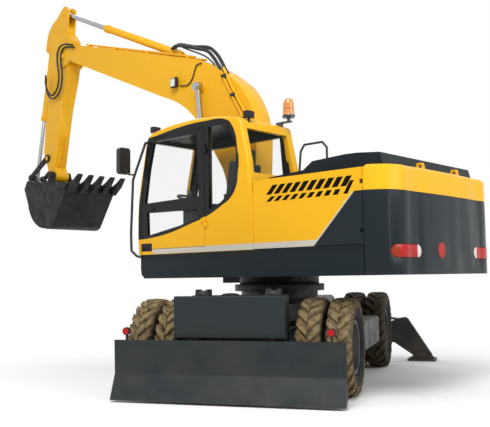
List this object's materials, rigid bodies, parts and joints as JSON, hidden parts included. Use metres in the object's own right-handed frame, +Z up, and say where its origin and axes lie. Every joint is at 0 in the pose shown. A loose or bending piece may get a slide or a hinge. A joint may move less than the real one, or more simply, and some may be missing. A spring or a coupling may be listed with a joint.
{
  "type": "wheeled excavator",
  "caption": "Wheeled excavator with a one-piece boom, arm and bucket, a slewing cab, twin wheels, a dozer blade and outriggers.",
  "frame": {"origin": "on the floor under the slew centre", "axes": "+X towards the steered axle and the outriggers, +Y to the left, +Z up"},
  "size_m": [5.2115, 8.0511, 6.2265],
  "materials": {
    "machine_yellow": "semi-gloss",
    "machine_grey": "satin",
    "bucket_black": "worn satin",
    "cast_dark": "painted matt",
    "rod_chrome": "polished",
    "tyre_black": "matt",
    "rim_grey": "satin",
    "clear_glass": "clear",
    "seat_fabric": "woven",
    "console_plastic": "matt",
    "mirror_plastic": "matt",
    "lamp_red": "gloss",
    "lamp_amber": "gloss"
  },
  "bodies": {
    "chassis": {"chassis_frame": "machine_grey", "blade_guard": "machine_grey", "step_boxes": "machine_grey", "rear_axle": "cast_dark", "steer_axle": "cast_dark", "driveline": "cast_dark"},
    "steering_knuckle_left": {"knuckle_left": "cast_dark"},
    "steering_knuckle_right": {"knuckle_right": "cast_dark"},
    "steering_tie_rod": {"tie_rod": "cast_dark"},
    "wheel_rear_left": {"tyres_rear_left": "tyre_black", "wheels_rear_left": "rim_grey"},
    "wheel_rear_right": {"tyres_rear_right": "tyre_black", "wheels_rear_right": "rim_grey"},
    "wheel_front_left": {"tyres_front_left": "tyre_black", "wheels_front_left": "rim_grey"},
    "wheel_front_right": {"tyres_front_right": "tyre_black", "wheels_front_right": "rim_grey"},
    "blade_arms": {"blade_arms": "machine_grey"},
    "blade": {"blade": "machine_grey"},
    "blade_links": {"blade_links": "machine_grey"},
    "blade_barrels": {"blade_barrels": "machine_grey"},
    "blade_rods": {"blade_rods": "rod_chrome"},
    "outrigger_left": {"outrigger_left": "machine_grey"},
    "outrigger_right": {"outrigger_right": "machine_grey"},
    "outrigger_barrel_left": {"jack_barrel_left": "machine_grey"},
    "outrigger_barrel_right": {"jack_barrel_right": "machine_grey"},
    "outrigger_rod_left": {"jack_rod_left": "rod_chrome"},
    "outrigger_rod_right": {"jack_rod_right": "rod_chrome"},
    "upper": {"upper_frame": "machine_grey", "engine_block": "cast_dark", "counterweight": "cast_dark", "engine_housing": "machine_grey", "tank_cabinet": "machine_grey", "handrails": "machine_yellow", "cab_shell": "machine_yellow", "cab_glass": "clear_glass", "operator_seat": "seat_fabric", "control_consoles": "console_plastic", "mirrors": "mirror_plastic", "lamps": "lamp_red", "beacon": "lamp_amber"},
    "cab_door": {"cab_door": "machine_yellow", "door_glass": "clear_glass"},
    "service_door_left": {"service_door_left": "machine_yellow"},
    "service_door_right": {"service_door_right": "machine_yellow"},
    "engine_hood": {"engine_hood": "machine_grey"},
    "boom": {"boom": "machine_yellow"},
    "boom_barrels": {"boom_barrels": "machine_yellow"},
    "boom_rods": {"boom_rods": "rod_chrome"},
    "arm": {"arm": "machine_yellow"},
    "arm_barrel": {"arm_barrel": "machine_yellow"},
    "arm_rod": {"arm_rod": "rod_chrome"},
    "rockers": {"rockers": "bucket_black"},
    "bucket_link": {"bucket_link": "bucket_black"},
    "bucket_barrel": {"bucket_barrel": "machine_yellow"},
    "bucket_rod": {"bucket_rod": "rod_chrome"},
    "bucket": {"bucket": "bucket_black"}
  },
  "joints": [
    {"name": "steering", "type": "hinge", "parent": "chassis", "child": "steering_knuckle_left", "pos_m": [1.274, 0.6, 0.527], "axis": [0, 0, 1], "range_deg": [-30, 30]},
    {"name": "steering_right", "type": "hinge", "parent": "chassis", "child": "steering_knuckle_right", "pos_m": [1.274, -0.6, 0.527], "axis": [0, 0, 1], "range_deg": [-30.2, 30.2]},
    {"name": "tie_rod_swing", "type": "hinge", "parent": "steering_knuckle_left", "child": "steering_tie_rod", "pos_m": [1.562, 0.6, 0.527], "axis": [0, 0, 1], "range_deg": [-30.2, 30.2]},
    {"name": "wheel_rear_left_roll", "type": "hinge", "parent": "chassis", "child": "wheel_rear_left", "pos_m": [-1.454, 0.95, 0.527], "axis": [0, 1, 0], "continuous": true},
    {"name": "wheel_rear_right_roll", "type": "hinge", "parent": "chassis", "child": "wheel_rear_right", "pos_m": [-1.454, -0.95, 0.527], "axis": [0, 1, 0], "continuous": true},
    {"name": "wheel_front_left_roll", "type": "hinge", "parent": "steering_knuckle_left", "child": "wheel_front_left", "pos_m": [1.274, 0.95, 0.527], "axis": [0, 1, 0], "continuous": true},
    {"name": "wheel_front_right_roll", "type": "hinge", "parent": "steering_knuckle_right", "child": "wheel_front_right", "pos_m": [1.274, -0.95, 0.527], "axis": [0, 1, 0], "continuous": true},
    {"name": "blade_lift", "type": "hinge", "parent": "chassis", "child": "blade_arms", "pos_m": [-1.8, 0, 0.4], "axis": [0, 1, 0], "range_deg": [-14, 34]},
    {"name": "blade_level", "type": "hinge", "parent": "blade_arms", "child": "blade", "pos_m": [-2.15, 0, 0.13], "axis": [0, 1, 0], "range_deg": [-34.2, 14.2]},
    {"name": "blade_link_swing", "type": "hinge", "parent": "chassis", "child": "blade_links", "pos_m": [-1.8, 0, 0.565], "axis": [0, 1, 0], "range_deg": [-14.2, 34.2]},
    {"name": "blade_cylinder_swing", "type": "hinge", "parent": "chassis", "child": "blade_barrels", "pos_m": [-1.8, 0, 1.1], "axis": [0, 1, 0], "range_deg": [-1.85, 4.21]},
    {"name": "blade_cylinder_stroke", "type": "slide", "parent": "blade_barrels", "child": "blade_rods", "axis": [-0.2631, 0, -0.9648], "range_m": [-0.1201, 0.0506]},
    {"name": "outrigger_left_swing", "type": "hinge", "parent": "chassis", "child": "outrigger_left", "pos_m": [2.18, 0.62, 0.33], "axis": [1, 0, 0], "range_deg": [-8, 50]},
    {"name": "outrigger_left_cylinder_swing", "type": "hinge", "parent": "chassis", "child": "outrigger_barrel_left", "pos_m": [2.18, 0.19, 0.76], "axis": [1, 0, 0], "range_deg": [-5.28, 31.94]},
    {"name": "outrigger_left_cylinder_stroke", "type": "slide", "parent": "outrigger_barrel_left", "child": "outrigger_rod_left", "axis": [0, 0.9922, -0.1245], "range_m": [-0.4062, 0.0667]},
    {"name": "outrigger_right_swing", "type": "hinge", "parent": "chassis", "child": "outrigger_right", "pos_m": [2.18, -0.62, 0.33], "axis": [-1, 0, 0], "range_deg": [-8, 50]},
    {"name": "outrigger_right_cylinder_swing", "type": "hinge", "parent": "chassis", "child": "outrigger_barrel_right", "pos_m": [2.18, -0.19, 0.76], "axis": [-1, 0, 0], "range_deg": [-5.28, 31.94]},
    {"name": "outrigger_right_cylinder_stroke", "type": "slide", "parent": "outrigger_barrel_right", "child": "outrigger_rod_right", "axis": [0, -0.9922, -0.1245], "range_m": [-0.4062, 0.0667]},
    {"name": "slew", "type": "hinge", "parent": "chassis", "child": "upper", "pos_m": [0, 0, 1.1955], "axis": [0, 0, 1], "continuous": true},
    {"name": "cab_door_swing", "type": "hinge", "parent": "upper", "child": "cab_door", "pos_m": [-1.06794, 0.644, 2.38], "axis": [0, 0, 1], "range_deg": [0, 160]},
    {"name": "service_door_left_swing", "type": "hinge", "parent": "upper", "child": "service_door_left", "pos_m": [-2.00989, -1.40826, 1.99], "axis": [0, 0, 1], "range_deg": [0, 100]},
    {"name": "service_door_right_swing", "type": "hinge", "parent": "upper", "child": "service_door_right", "pos_m": [0.19607, -2.44631, 1.99], "axis": [0, 0, -1], "range_deg": [0, 100]},
    {"name": "engine_hood_lift", "type": "hinge", "parent": "upper", "child": "engine_hood", "pos_m": [-0.29123, -0.6189, 2.408], "axis": [-0.9048, 0.4258, 0], "range_deg": [0, 55]},
    {"name": "boom_lift", "type": "hinge", "parent": "upper", "child": "boom", "pos_m": [0.25866, 0.40877, 2.05], "axis": [-0.9048, 0.4258, 0], "range_deg": [-22, 65]},
    {"name": "boom_cylinder_swing", "type": "hinge", "parent": "upper", "child": "boom_barrels", "pos_m": [0.50562, 0.93357, 1.75], "axis": [-0.9048, 0.4258, 0], "range_deg": [-22.39, 65.78]},
    {"name": "boom_cylinder_stroke", "type": "slide", "parent": "boom_barrels", "child": "boom_rods", "axis": [0.0474, 0.1006, 0.9938], "range_m": [-0.6853, 0.2333]},
    {"name": "arm_swing", "type": "hinge", "parent": "boom", "child": "arm", "pos_m": [2.1108, 4.34477, 5.27], "axis": [0.9048, -0.4258, 0], "range_deg": [-30, 65]},
    {"name": "arm_cylinder_swing", "type": "hinge", "parent": "boom", "child": "arm_barrel", "pos_m": [0.91383, 1.80107, 4.74299], "axis": [0.9048, -0.4258, 0], "range_deg": [-2.37, 4.9]},
    {"name": "arm_cylinder_stroke", "type": "slide", "parent": "arm_barrel", "child": "arm_rod", "axis": [0.3863, 0.8209, 0.4206], "range_m": [-0.8585, 0.3973]},
    {"name": "bucket_curl", "type": "hinge", "parent": "arm", "child": "bucket", "pos_m": [2.25983, 4.66146, 3.15], "axis": [0.9048, -0.4258, 0], "range_deg": [-25, 100]},
    {"name": "rocker_swing", "type": "hinge", "parent": "arm", "child": "rockers", "pos_m": [2.33749, 4.82649, 3.48792], "axis": [0.9048, -0.4258, 0], "range_deg": [-17.03, 67.51]},
    {"name": "bucket_link_swing", "type": "hinge", "parent": "rockers", "child": "bucket_link", "pos_m": [2.57064, 5.32198, 3.185], "axis": [0.9048, -0.4258, 0], "range_deg": [-35, 8.9]},
    {"name": "bucket_cylinder_swing", "type": "hinge", "parent": "arm", "child": "bucket_barrel", "pos_m": [2.36649, 4.88812, 5.56171], "axis": [0.9048, -0.4258, 0], "range_deg": [-1.51, 5.45]},
    {"name": "bucket_cylinder_stroke", "type": "slide", "parent": "bucket_barrel", "child": "bucket_rod", "axis": [0.0842, 0.1789, -0.9802], "range_m": [-0.671, 0.1692]}
  ],
  "couplings": [
    {"joint": "steering_right", "follows": "steering", "ratio": 1},
    {"joint": "tie_rod_swing", "follows": "steering", "ratio": -1},
    {"joint": "blade_level", "follows": "blade_lift", "ratio": -1},
    {"joint": "blade_link_swing", "follows": "blade_lift", "ratio": 1},
    {"joint": "blade_cylinder_swing", "follows": "blade_lift", "ratio": 0.11804},
    {"joint": "blade_cylinder_stroke", "follows": "blade_lift", "m_per_rad": -0.19896},
    {"joint": "outrigger_left_cylinder_swing", "follows": "outrigger_left_swing", "ratio": 0.63487},
    {"joint": "outrigger_left_cylinder_stroke", "follows": "outrigger_left_swing", "m_per_rad": -0.46316},
    {"joint": "outrigger_right_cylinder_swing", "follows": "outrigger_right_swing", "ratio": 0.63487},
    {"joint": "outrigger_right_cylinder_stroke", "follows": "outrigger_right_swing", "m_per_rad": -0.46316},
    {"joint": "boom_cylinder_swing", "follows": "boom_lift", "ratio": 1.0089},
    {"joint": "boom_cylinder_stroke", "follows": "boom_lift", "m_per_rad": -0.60234},
    {"joint": "arm_cylinder_swing", "follows": "arm_swing", "ratio": 0.072244},
    {"joint": "arm_cylinder_stroke", "follows": "arm_swing", "m_per_rad": -0.75498},
    {"joint": "rocker_swing", "follows": "bucket_curl", "ratio": 0.67314},
    {"joint": "bucket_link_swing", "follows": "bucket_curl", "ratio": -0.34796},
    {"joint": "bucket_cylinder_swing", "follows": "bucket_curl", "ratio": 0.052454},
    {"joint": "bucket_cylinder_stroke", "follows": "bucket_curl", "m_per_rad": -0.38329}
  ]
}
